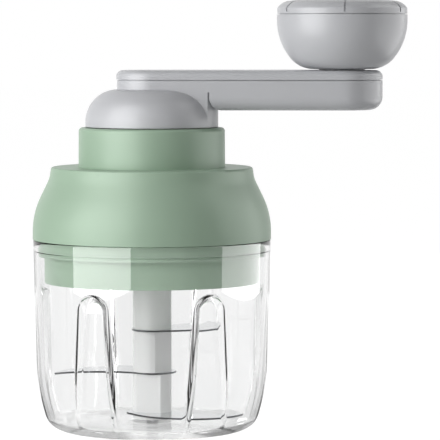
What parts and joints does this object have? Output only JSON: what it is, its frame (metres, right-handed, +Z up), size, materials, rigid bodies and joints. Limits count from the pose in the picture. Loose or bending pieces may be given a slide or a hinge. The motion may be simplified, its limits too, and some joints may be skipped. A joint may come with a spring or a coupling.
{
  "type": "crank food chopper",
  "caption": "Hand cranked food chopper: a clear fluted cup with a tiered blade stack under a domed lid whose planetary gear spins the blades faster than the crank.",
  "frame": {"origin": "middle of the cup's flat base", "axes": "+Z up along the cup's axis, which the crank turns about; the crank's arm points along +X at rest"},
  "size_m": [0.1271, 0.081, 0.1464],
  "materials": {
    "clear_plastic": "clear, polished",
    "green_plastic": "satin",
    "grey_plastic": "satin",
    "white_plastic": "satin",
    "gear_plastic": "as moulded",
    "seal_rubber": "soft",
    "steel": "turned and ground"
  },
  "bodies": {
    "cup": {"cup": "clear_plastic", "cup_pin": "steel"},
    "lid": {"lid_shell": "green_plastic", "collar": "green_plastic", "top_bush": "gear_plastic", "lid_base": "green_plastic", "seal_ring": "seal_rubber", "base_screws": "steel", "spindle_bush": "gear_plastic", "ring_gear": "gear_plastic"},
    "crank": {"crank_body": "grey_plastic", "arm_cover": "grey_plastic", "crank_screw": "steel", "crank_washer": "steel", "planet_carrier": "grey_plastic", "planet_pins": "steel", "knob_post": "steel", "knob_screw": "steel"},
    "planet_1": {"planet_gear_1": "gear_plastic"},
    "planet_2": {"planet_gear_2": "gear_plastic"},
    "planet_3": {"planet_gear_3": "gear_plastic"},
    "drive": {"sun_spindle": "gear_plastic"},
    "knob": {"knob_body": "grey_plastic", "knob_bush": "gear_plastic", "knob_cap": "grey_plastic"},
    "blades": {"blade_shaft": "white_plastic", "blade_foot": "white_plastic", "blade_spacer_lower": "white_plastic", "blade_spacer_upper": "white_plastic", "blade_lower": "steel", "blade_middle": "steel", "blade_upper": "steel"}
  },
  "joints": [
    {"name": "lid_lift", "type": "slide", "parent": "cup", "child": "lid", "axis": [0, 0, 1], "range_m": [0, 0.06]},
    {"name": "crank_spin", "type": "hinge", "parent": "lid", "child": "crank", "pos_m": [0, 0, 0.1027], "axis": [0, 0, 1], "continuous": true},
    {"name": "knob_spin", "type": "hinge", "parent": "crank", "child": "knob", "pos_m": [0.0645, 0, 0.1221], "axis": [0, 0, 1], "continuous": true},
    {"name": "planet_1_spin", "type": "hinge", "parent": "crank", "child": "planet_1", "pos_m": [0.015, 0, 0.06155], "axis": [0, 0, 1], "continuous": true},
    {"name": "planet_2_spin", "type": "hinge", "parent": "crank", "child": "planet_2", "pos_m": [-0.0075, 0.01299, 0.06155], "axis": [0, 0, 1], "continuous": true},
    {"name": "planet_3_spin", "type": "hinge", "parent": "crank", "child": "planet_3", "pos_m": [-0.0075, -0.01299, 0.06155], "axis": [0, 0, 1], "continuous": true},
    {"name": "sun_spin", "type": "hinge", "parent": "lid", "child": "drive", "pos_m": [0, 0, 0.0535], "axis": [0, 0, 1], "continuous": true},
    {"name": "blade_spin", "type": "hinge", "parent": "cup", "child": "blades", "pos_m": [0, 0, 0.0036], "axis": [0, 0, 1], "continuous": true}
  ],
  "couplings": [
    {"joint": "planet_1_spin", "follows": "crank_spin", "ratio": -2.6667},
    {"joint": "planet_2_spin", "follows": "crank_spin", "ratio": -2.6667},
    {"joint": "planet_3_spin", "follows": "crank_spin", "ratio": -2.6667},
    {"joint": "sun_spin", "follows": "crank_spin", "ratio": 5},
    {"joint": "blade_spin", "follows": "crank_spin", "ratio": 5}
  ]
}
